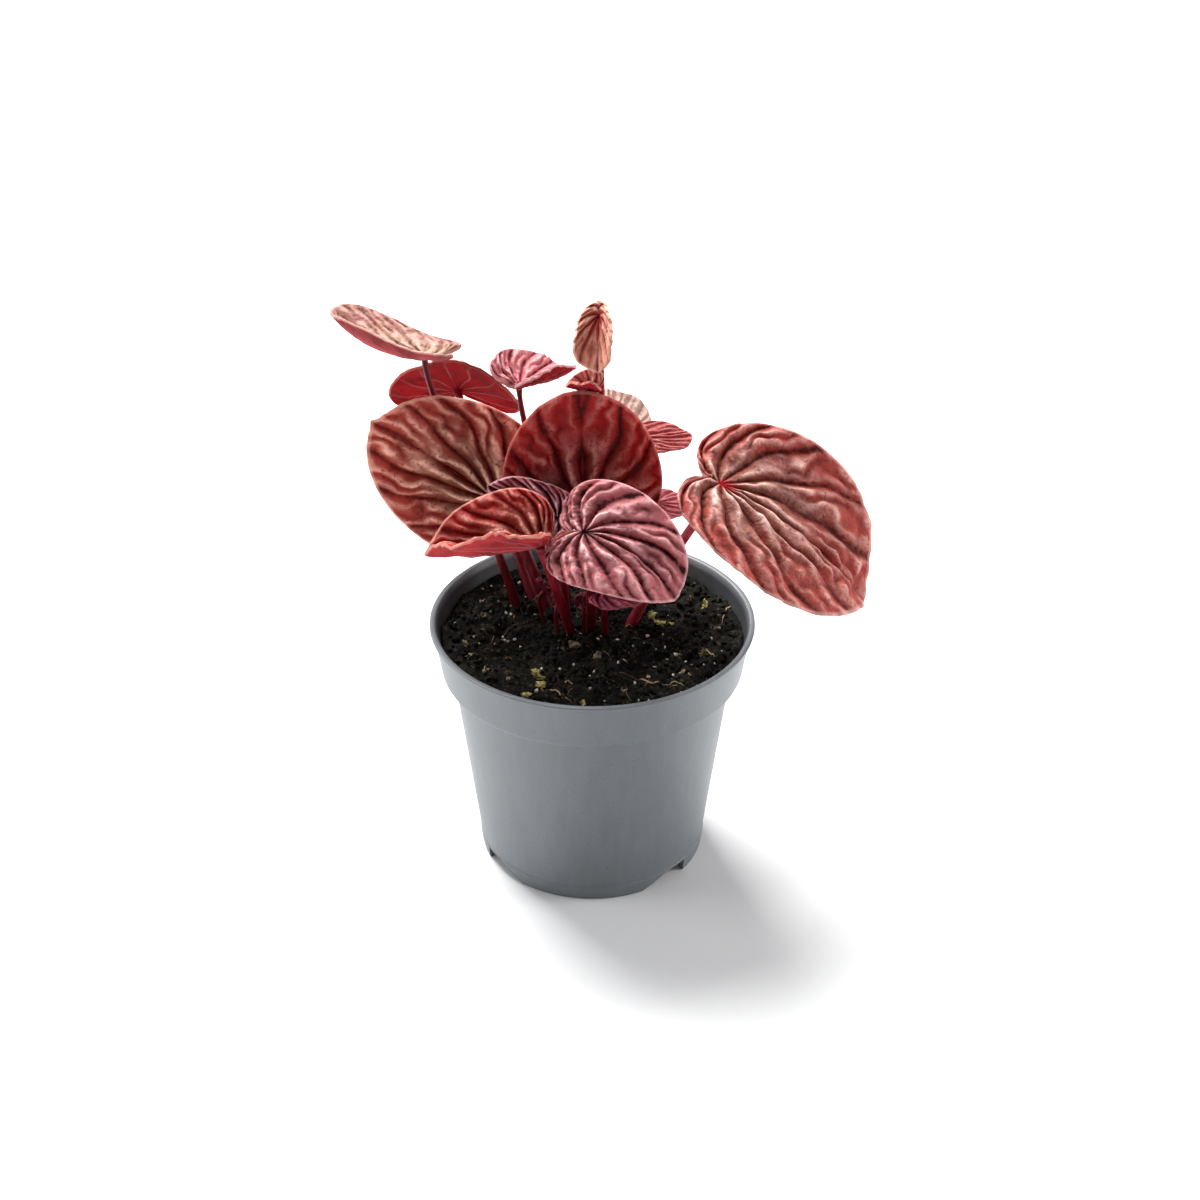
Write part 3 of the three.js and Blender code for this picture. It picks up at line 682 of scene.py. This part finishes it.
# The places and bends of the leaves. joint is where the stalk meets the blade; heading, rise and
# roll (degrees) turn the midrib; length runs from the joint to the tip, lobe back to the ear;
# fold, curl (left half, right half) and arch bend the blade. notch, taper, apex, shift and
# fullness shape its outline, wave the margin, and veins and ripple the quilting. root and stalk
# place and size the stalk, and bend is how far it turns to meet the blade squarely. Left out,
# notch is 1, taper 0.18, apex 0.05, shift 0.2, fullness 0.9, wave 0.4 and bend 1.
LEAVES = {
    "right": dict(
        joint=(32, 0, 108.8), heading=-14, rise=-21, roll=15,
        length=52, width=48.3, lobe=11, fold=(4, 17), curl=(34, -36), arch=-40,
        taper=0.28, shift=0, fullness=1.05, veins=5, ripple=2.4, root=(8, 6), stalk=(1.5, 1.0)),
    "front": dict(
        joint=(-2, -14, 102.5), heading=-34, rise=10, roll=10,
        length=30.5, width=29.5, lobe=10.5, fold=(27, 0), curl=(26, -48), arch=-72,
        notch=5, veins=5, ripple=2.1, root=(0, 5), stalk=(1.4, 1.1)),
    "front_left": dict(
        joint=(-13, -12.5, 98.2), heading=173, rise=-15, roll=-5,
        length=30, width=31, lobe=6, fold=(50, 56), curl=(-8, -4), arch=14,
        wave=0.9, veins=5, ripple=1.5, root=(-4.8, 3.2), stalk=(1.3, 1.1)),
    "inner": dict(
        joint=(-9, 5, 96.5), heading=174, rise=24, roll=-78,
        length=20, width=15.5, lobe=5, fold=(0, 4), curl=(0, 0), arch=-6,
        veins=6, ripple=1.4, root=(-6.5, 7.5), stalk=(1.2, 1.0), bend=0.3),
    "middle": dict(
        joint=(-2.5, 10, 95), heading=96, rise=82, roll=0,
        length=34.5, width=41.5, lobe=10, fold=(-4, 4), curl=(-6, -6), arch=12,
        taper=0, apex=0, veins=4, ripple=1.8, root=(3, 12.5), stalk=(1.4, 1.0)),
    "left": dict(
        joint=(-24, 15.5, 95), heading=175, rise=37, roll=-74,
        length=42.5, width=40, lobe=8.5, fold=(-6, -4), curl=(10, -8), arch=24,
        veins=5, ripple=2.1, root=(-9.5, 11), stalk=(1.5, 1.2)),
    "far_left": dict(
        joint=(-43, 25, 132.3), heading=163, rise=-3, roll=12,
        length=28.5, width=20.5, lobe=13.5, fold=(-6, 28), curl=(75, 0), arch=46,
        taper=0, apex=0, shift=-0.3, wave=0.15, veins=5, ripple=0.6,
        root=(-18.5, 13.4), stalk=(1.4, 0.7)),
    "back_left": dict(
        joint=(-37, 56, 108.2), heading=264, rise=43, roll=17,
        length=31.5, width=37, lobe=15, fold=(-15, 5), curl=(-32, -2), arch=-6,
        wave=0.2, veins=5, ripple=0.7, root=(-14, 14.5), stalk=(1.4, 1.0)),
    "top": dict(
        joint=(-19, 27, 123), heading=53, rise=-12, roll=-10,
        length=22, width=23, lobe=6.5, fold=(34, 17), curl=(32, 24), arch=6,
        veins=5, ripple=1.2, root=(-5.5, 17), stalk=(1.2, 0.7)),
    "rolled": dict(
        joint=(1.8, 19, 146.8), heading=268, rise=-62, roll=0,
        length=14.8, width=15, lobe=3.1, fold=(54, 0), curl=(20, 55), arch=10,
        notch=2.8, shift=-0.35, wave=0.2, veins=4, ripple=0.7,
        root=(3.5, 16), stalk=(1.1, 0.7), bend=0.1),
    "cupped": dict(
        joint=(-1, 14.5, 128), heading=172, rise=8, roll=-8,
        length=6, width=11.5, lobe=4.5, fold=(48, 52), curl=(10, 10), arch=10,
        veins=4, ripple=0.3, root=(0, 17), stalk=(0.8, 0.6)),
    "back_pale": dict(
        joint=(3, 28, 105.5), heading=66, rise=18, roll=26,
        length=22.5, width=22.5, lobe=7, fold=(10, 10), curl=(-5, -10), arch=-12,
        veins=5, ripple=1.1, root=(5, 18.5), stalk=(1.2, 0.9)),
    "back_right": dict(
        joint=(11, 21.5, 110.7), heading=1, rise=-2, roll=11,
        length=15, width=14, lobe=4, fold=(5, 5), curl=(0, 0), arch=5,
        taper=0, apex=0, veins=4, ripple=0.8, root=(12.9, 13.6), stalk=(1.0, 0.7)),
    "low_right": dict(
        joint=(16.6, 18.2, 93), heading=8, rise=-8, roll=5,
        length=11.5, width=13, lobe=3.5, fold=(5, 5), curl=(0, 0), arch=5,
        veins=4, ripple=0.8, root=(12, 9.8), stalk=(1.0, 0.8)),
    "low_front": dict(
        joint=(3, -6, 81), heading=-15, rise=0, roll=0,
        length=11, width=13, lobe=4, fold=(0, -10), curl=(0, 0), arch=-10,
        veins=4, ripple=1.1, root=(3.5, 2), stalk=(1.0, 0.8)),
    "shoot_left": dict(
        joint=(-12.5, 8, 72.5), heading=200, rise=65, roll=0,
        length=5, width=4.5, lobe=1.2, fold=(30, 30), curl=(20, 20), arch=0,
        veins=2, ripple=0.2, root=(-11.5, 7), stalk=(0.6, 0.5)),
    "shoot_middle": dict(
        joint=(-9, 3.5, 71.5), heading=250, rise=70, roll=0,
        length=4.5, width=4, lobe=1.2, fold=(30, 30), curl=(20, 20), arch=0,
        veins=2, ripple=0.2, root=(-8.6, 3), stalk=(0.6, 0.5)),
    "shoot_right": dict(
        joint=(-2.9, 1.2, 73), heading=290, rise=60, roll=0,
        length=5, width=4.5, lobe=1.2, fold=(30, 30), curl=(20, 20), arch=0,
        veins=2, ripple=0.2, root=(-2.2, 1.2), stalk=(0.6, 0.5)),
}


def leaf_axes(leaf):
    """Directions along the midrib, to the left of it and up out of the blade."""
    heading, rise, roll = (radians(leaf[key]) for key in ("heading", "rise", "roll"))
    along = Vector((cos(heading) * cos(rise), sin(heading) * cos(rise), sin(rise)))
    level = Vector((-sin(heading), cos(heading), 0))
    left = level * cos(roll) + along.cross(level) * sin(roll)
    return along, left, along.cross(left)


def stalk_path(leaf, steps):
    """Points of a stalk from its root up into the underside of its blade."""
    up = leaf_axes(leaf)[2]
    root = Vector((*leaf["root"], SOIL_LEVEL - ROOT_DEPTH))
    below = BLADE_THICKNESS / 2 + 0.3 + 0.08 * leaf["ripple"]
    end = Vector(leaf["joint"]) - up * below
    span = (end - root).length
    leaving = root.lerp(end, 0.3) + Vector((0, 0, 0.1 * span))
    arriving = end - up * min(0.22 * span, 9) * leaf.get("bend", 1)
    path = []
    for step in range(steps + 1):
        t = step / steps
        path.append(root * (1 - t) ** 3 + leaving * 3 * t * (1 - t) ** 2
                    + arriving * 3 * t * t * (1 - t) + end * t ** 3)
    return path + [end + up * (below - 0.1)]


def stalk_look(name, dark, light):
    """The look of a stalk's skin, from the colour of its streaks and its lightest colour."""
    look = Look(name, Specular_IOR_Level=0.25)
    place = look.place()
    along = look.node("Mapping", output="Vector", Vector=place, Scale=(1, 1, 0.12))
    streaks = look.noise(along, scale=900, detail=3)
    cloud = look.noise(place, scale=110, detail=3)
    foot = look.smooth(look.attribute("height"), FOOT_BOTTOM, FOOT_TOP)
    shade = look.smooth(streaks * 0.55 + cloud * 0.45, 0.36, 0.64)
    look.colour(look.mix(shade * (foot * 0.7 + 0.3), dark, light))
    look.roughness(0.3 + streaks * 0.2)
    look.bump(streaks, distance=0.00012)
    return look


stalk_looks = {tint: stalk_look("stalk_" + tint, *pair) for tint, pair in STALK_COLOURS.items()}
for name, leaf in LEAVES.items():
    at_root, at_blade = leaf["stalk"]
    path = stalk_path(leaf, STALK_STEPS)
    radii = []
    for step in range(len(path)):
        t = min(step / STALK_STEPS, 1)
        uneven = STALK_UNEVEN * sin(9 * t + leaf["length"])
        flare = STALK_FLARE * exp(-((1 - t) / FLARE_REACH) ** 2)
        radii.append((at_root + (at_blade - at_root) * t) * (1 + uneven + flare))
    points, faces = tube(path, radii, STALK_SIDES)
    heights = {"height": [point[2] for point in points]}
    look = stalk_looks[STALK_TINTS.get(name, "red")]
    stalk = add_mesh("stem_" + name, points, faces, look, values=heights)
    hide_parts("stalk_" + name)
    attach(stalk, "root")


# ---- Leaf blades ----
# Thick waxy heart shapes, grown onto the ends of the stalks. The tissue swells up between sunken
# veins, deep red in the valleys, with a thin paler margin and a bright star where the veins meet.
# The crowns are painted pale and greyed as a highlight, and the valleys are darkened further with
# painted shade. The undersides are smoother and redder.

VEIN_SWEEP = 0.22
VEIN_WANDER = 0.06
FORK_START = 0.42
FORK_LENGTH = 0.25
SINGLE_CREST = 0.12
DOUBLE_CREST = 0.09
MARGIN_INSET = 0.3
MARGIN_THICKNESS = 0.62 * BLADE_THICKNESS

# Rings and segments of the mesh of a large leaf, a small one and a shoot.
GRID_LARGE = (52, 208)
GRID_SMALL = (24, 104)
GRID_SHOOT = (12, 56)

# For each leaf, as seen on screen: crests, body and valleys of the ripples near the stalk, the
# body near the margin, the star over the stalk, and the underside. The crest colour is a painted
# highlight, the valley colour is the leaf's deep red with painted shade, and on the middle leaf the
# red near the margin is a painted glow of light shining through the blade.
LEAF_COLOURS = {
    "right": ((252, 208, 196), (132, 76, 64), (86, 26, 18), (170, 70, 62), (186, 40, 48),
              (164, 52, 54)),
    "front": ((248, 198, 200), (142, 74, 77), (66, 8, 14), (182, 102, 105), (66, 16, 22),
              (146, 42, 52)),
    "front_left": ((250, 188, 170), (132, 56, 44), (98, 8, 6), (164, 30, 28), (110, 18, 20),
                   (190, 62, 66)),
    "inner": ((255, 212, 218), (122, 38, 52), (78, 2, 12), (150, 50, 66), (84, 16, 26),
              (124, 26, 44)),
    # The middle leaf's red near the margin is a painted glow of light shining through the blade.
    "middle": ((206, 138, 128), (108, 32, 30), (80, 2, 4), (164, 22, 22), (74, 4, 6),
               (150, 26, 30)),
    "left": ((255, 204, 180), (132, 74, 56), (106, 22, 14), (174, 66, 56), (120, 40, 36),
             (156, 34, 38)),
    "far_left": ((212, 184, 168), (180, 144, 126), (132, 98, 76), (186, 126, 122),
                 (176, 98, 94), (174, 70, 74)),
    "back_left": ((186, 116, 108), (128, 52, 48), (88, 18, 18), (142, 52, 50), (140, 50, 54),
                  (142, 0, 8)),
    "top": ((240, 198, 198), (184, 98, 104), (112, 18, 32), (198, 118, 124), (146, 42, 56),
            (162, 32, 46)),
    "rolled": ((250, 214, 194), (200, 128, 106), (152, 78, 62), (216, 144, 124), (206, 84, 84),
               (230, 160, 142)),
    "cupped": ((226, 156, 142), (150, 66, 56), (112, 26, 22), (190, 104, 98), (160, 54, 54),
               (180, 34, 42)),
    "back_pale": ((196, 176, 160), (168, 146, 132), (146, 116, 102), (176, 140, 130),
                  (180, 96, 92), (178, 104, 98)),
    "back_right": ((206, 140, 136), (156, 72, 72), (142, 56, 56), (164, 76, 76),
                   (176, 80, 84), (150, 48, 54)),
    "low_right": ((230, 162, 166), (180, 88, 96), (152, 60, 68), (190, 100, 108),
                  (190, 90, 98), (170, 66, 76)),
    "low_front": ((196, 124, 140), (128, 46, 64), (74, 10, 26), (156, 62, 78), (110, 26, 46),
                  (116, 26, 46)),
}
SHOOT_COLOURS = ((150, 74, 92), (112, 40, 60), (76, 16, 34), (134, 54, 70), (110, 30, 46),
                 (118, 28, 46))
LARGE_LEAVES = ["right", "front", "front_left", "inner", "middle", "left", "far_left", "back_left",
                "top", "rolled", "back_pale"]

# Height of the finest crinkles in millimetres, elsewhere 0.24.
CRINKLE = {"front": 0.46, "inner": 0.6, "top": 0.4, "low_front": 0.4, "far_left": 0.1}

# How far blotches take the place of stripes between the veins, and how far the colour of the
# star over the stalk reaches out; elsewhere 0 and 0.13.
BLOTCHED = {"far_left": 0.85, "back_pale": 0.6, "back_right": 0.5, "low_right": 0.4}
STAR_REACH = {"rolled": 0.6, "far_left": 0.3, "back_left": 0.25}

# How strongly the crests take their pale colour, a painted highlight, elsewhere 1.
SHEEN = {"left": 1.7, "right": 1.15, "inner": 1.3}

# Strength of the waxy shine, elsewhere 0.14.
SHINE = {"back_left": 0.03}


def margin(leaf, angle):
    """Flat outline of a blade: its tip is at angle 0, the sinus between its ears at pi."""
    length, width, lobe = leaf["length"], leaf["width"], leaf["lobe"]
    notch, taper, apex = leaf.get("notch", 1), leaf.get("taper", 0.18), leaf.get("apex", 0.05)
    turn = np.abs(angle)
    sinus = np.exp(-(((pi - turn) / 0.34) ** 2))
    point = apex * length * (np.exp(-turn / 0.2) - 1)
    x = (length + lobe) * (1 + np.cos(turn)) / 2 - lobe + (lobe - notch) * sinus + point
    bow = np.clip(np.sin(turn - leaf.get("shift", 0.2) * np.sin(turn)), 0, 1)
    half = width / 2 * bow ** leaf.get("fullness", 0.9)
    y = half * (1 - taper * np.exp(-((turn / 0.5) ** 2))) * (1 - 0.75 * sinus)
    return x, np.sign(angle) * y


def field(x, y, scale, seed):
    """Smooth irregular values, about -1 to 1, at points of the flat blade."""
    return np.array([noise.noise((scale * a, scale * b, seed)) for a, b in zip(x, y)])


def quilting(leaf, x, y, reach, angle):
    """Relief of the blade in millimetres, and from 0 to 1 how far each point stands out of the
    veins, how near it is to the crest of a ripple and how near to a main vein."""
    seed = leaf["length"] + leaf["width"]
    wander = np.sin(0.33 * x + 0.2 * y + seed) + np.sin(0.41 * y - 0.24 * x + 2 * seed)
    vein = np.abs(angle) / (1 - VEIN_SWEEP * reach ** 2) / pi * leaf["veins"]
    pad = np.floor(vein)
    between = np.abs(np.sin(pi * (vein + VEIN_WANDER * wander * np.clip(2.5 * reach, 0, 1))))
    pads = 1 + 0.3 * np.sin(8 * reach + 2.4 * pad + leaf["length"])
    blister = 0.5 + 0.5 * np.clip(1.8 * field(x, y, 0.24, seed + 9), -1, 1)
    aside = np.abs(vein - pad - 0.5 + 0.1 * wander + 0.25 * field(x, y, 0.3, seed + 5))
    forked = np.clip((reach - FORK_START - 0.1 * np.sin(5 * pad + seed)) / FORK_LENGTH, 0, 1)
    middle = np.exp(-((aside / SINGLE_CREST) ** 2))
    quilt = between ** 0.85 * (1 - 0.6 * forked * middle)
    single = (1 - forked) * middle
    double = forked * np.exp(-(((aside - 0.25) / DOUBLE_CREST) ** 2))
    crest = (single + double) * between * (0.3 + 0.7 * blister)
    fade = 1.25 * reach ** 0.6 * (1 - 0.7 * reach ** 4)
    wave = leaf.get("wave", 0.4) * reach ** 3 * np.sin(5 * angle + leaf["width"])
    fine = 0.8 * (blister - 0.5) * quilt + 0.22 * crest
    lift = leaf["ripple"] * ((quilt - 0.5) * pads + fine) * fade + wave
    raised = np.clip(quilt * (0.55 + 0.45 * blister), 0, 1)
    near_vein = np.exp(-((between / 0.1) ** 2)) * np.clip(1.15 - reach, 0, 1)
    return lift, raised, crest, near_vein


def bent_path(distance, start, turn, total):
    """Follows a path whose direction starts at one angle and turns evenly by another."""
    rate = turn / total if abs(turn) > 1e-6 else 1e-6 / total
    angle = start + rate * distance
    return (np.sin(angle) - sin(start)) / rate, (cos(start) - np.cos(angle)) / rate, angle


def blade_points(leaf, x, y, lift):
    """Bends points of the flat blade, lift above its middle, into their place in the plant."""
    along_axis, left_axis, up_axis = (np.array(axis) for axis in leaf_axes(leaf))
    climb, across, slope = np.zeros_like(y), np.zeros_like(y), np.zeros_like(y)
    for half, side in ((0, y >= 0), (1, y < 0)):
        fold, curl = radians(leaf["fold"][half]), radians(leaf["curl"][half])
        across[side], climb[side], slope[side] = bent_path(
            np.abs(y[side]), fold, curl, leaf["width"] / 2)
    along, rise, pitch = bent_path(x, 0, radians(leaf["arch"]), leaf["length"])
    height = climb + np.cos(slope) * lift
    sideways = np.where(y >= 0, 1, -1) * (across - np.sin(slope) * lift)
    return (np.array(leaf["joint"]) + np.outer(along - np.sin(pitch) * height, along_axis)
            + np.outer(sideways, left_axis) + np.outer(rise + np.cos(pitch) * height, up_axis))


def blade(name, leaf, grid, crinkled, look):
    """The closed skin of one blade: top face, underside and a thin rounded margin."""
    rings, segments = grid
    angle = np.tile(pi * (2 * np.arange(segments) / segments - 1), rings)
    edge_x, edge_y = margin(leaf, angle)
    turn = np.repeat(np.arange(1, rings + 1) / rings, segments)
    reach = turn ** 0.85
    outermost = reach > 0.999
    inset = 1 - MARGIN_INSET / leaf["length"] * outermost
    x, y = edge_x * reach * inset, edge_y * reach * inset
    lift, raised, crest, near_vein = quilting(leaf, x, y, reach, angle)
    crinkle = field(x, y, 0.5, leaf["length"]) + 0.6 * field(x, y, 1.1, leaf["width"])
    crinkle *= crinkled * (0.6 + 1.3 * (angle / pi) ** 2)
    lift += crinkle * (0.7 + crest) * reach ** 0.5 * (1 - 0.8 * reach ** 6)
    raised = np.clip(raised + 0.6 * crinkle, 0, 1)
    thin = np.where(outermost, MARGIN_THICKNESS, BLADE_THICKNESS) / 2
    centre = np.zeros(1)
    rim = slice(-segments, None)
    skin = [
        blade_points(leaf, centre, centre, centre + BLADE_THICKNESS / 2),
        blade_points(leaf, x, y, lift + thin),
        blade_points(leaf, edge_x[rim], edge_y[rim], lift[rim]),
        blade_points(leaf, centre, centre, centre - BLADE_THICKNESS / 2),
        blade_points(leaf, x, y, lift - thin),
    ]
    size = rings * segments
    under = np.concatenate([[0], np.zeros(size), np.full(segments, 0.5), [1], np.ones(size)])
    pattern = 3.0 * leaf["length"]
    flat = np.stack([x, y, np.full(size, pattern)], axis=1)
    middle = np.array([[0, 0, pattern]])

    def everywhere(values, at_joint):
        """A value's list for the whole skin: the top face, the margin and the underside."""
        return np.concatenate([[at_joint], values, values[rim], [at_joint], values])

    values = {
        "under": under,
        "flat": np.concatenate([middle, flat, flat[rim], middle, flat]),
        "reach": everywhere(reach, 0),
        "raised": everywhere(raised, 0),
        "crest": everywhere(crest, 0),
        "vein": everywhere(near_vein, 1),
    }
    rim_start = 1 + size
    low_start = rim_start + segments
    faces = []
    for i in range(segments):
        after = (i + 1) % segments
        faces.append((0, 1 + i, 1 + after))
        faces.append((low_start, low_start + 1 + after, low_start + 1 + i))
        for ring in range(rings - 1):
            a, b = 1 + ring * segments + i, 1 + ring * segments + after
            faces.append((a, a + segments, b + segments, b))
            a, b = a + low_start, b + low_start
            faces.append((b, b + segments, a + segments, a))
        a, b = 1 + size - segments + i, 1 + size - segments + after
        faces.append((a, rim_start + i, rim_start + after, b))
        faces.append((rim_start + i, a + low_start, b + low_start, rim_start + after))
    return add_mesh(name, np.concatenate(skin), faces, look, values=values)


def blade_look(name, *colours):
    """The look of one blade's skin, from its row of the table of colours."""
    crest, body, valley, outer, star, below = (linear(*colour) for colour in colours)
    pale_vein = [0.5 * level + 0.22 for level in below]
    blotched = BLOTCHED.get(name, 0)
    look = Look("blade_" + name, Specular_IOR_Level=SHINE.get(name, 0.14),
                Subsurface_Weight=0.2, Subsurface_Scale=0.002,
                Subsurface_Radius=(1.0, 0.25, 0.2))
    flat = look.attribute("flat", "Vector")
    reach = look.attribute("reach")
    under = look.attribute("under")
    raised = look.attribute("raised")
    cells = look.noise(flat, scale=1.1, detail=4)
    cloud = look.noise(flat, scale=0.16, detail=3)
    blotches = look.smooth(look.noise(flat, scale=0.42, detail=3), 0.4, 0.56)
    height = raised * (1 - blotched) + blotches * blotched
    height = height + (cells - 0.5) * 0.45 + (cloud - 0.5) * 0.5
    # Towards the margin the body takes the outer colour; on the middle leaf that red is a painted
    # glow of light shining through the blade.
    outward = look.smooth(reach + (cloud - 0.5) * 0.7, 0.3, 0.95)
    upper = look.mix(outward, body, outer)
    # The leaf's own deep red with painted shade: the valley colour darkens the low parts between the
    # ripples.
    upper = look.mix(look.smooth(height, 0.0, 0.42), valley, upper)
    # Painted highlight: the pale crest colour, laid on the raised parts of the ripples.
    top = look.mix(outward * 0.3, crest, outer)
    ripe = look.smooth(reach, 0.05, 0.3)
    upper = look.mix(look.smooth(height, 0.6, 1.1) * ripe * 0.6, upper, top)
    # Painted highlight along the crest lines of the ripples.
    sheen = look.attribute("crest") * look.smooth(cells, 0.28, 0.5) * SHEEN.get(name, 1)
    upper = look.mix(sheen, upper, top)
    upper = look.mix(look.smooth(reach, 0.965, 0.985) * 0.5, upper, top)
    upper = look.mix(look.smooth(reach, 0.03, STAR_REACH.get(name, 0.13)), star, upper)
    lower = look.mix(look.smooth(cloud, 0.35, 0.7), below, [0.6 * level for level in below])
    lower = look.mix(look.attribute("vein") * 0.9, lower, pale_vein)
    lower = look.mix(look.smooth(reach, 0.965, 0.99) * 0.7, lower, top)
    look.colour(look.mix(under, upper, lower))
    look.roughness(0.42 - look.smooth(height, 0.4, 1.0) * 0.1 + under * 0.4)
    fine = look.noise(flat, scale=2.6, detail=3)
    look.bump(raised * 0.6 + cells * 0.28 + fine * 0.12, distance=0.0018)
    return look


for name, leaf in LEAVES.items():
    look = blade_look(name, *LEAF_COLOURS.get(name, SHOOT_COLOURS))
    grid = GRID_LARGE if name in LARGE_LEAVES else GRID_SMALL if name in LEAF_COLOURS else GRID_SHOOT
    leaf_blade = blade("blade_" + name, leaf, grid, CRINKLE.get(name, 0.24), look)
    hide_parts("leaf_" + name)
    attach(leaf_blade, "root")
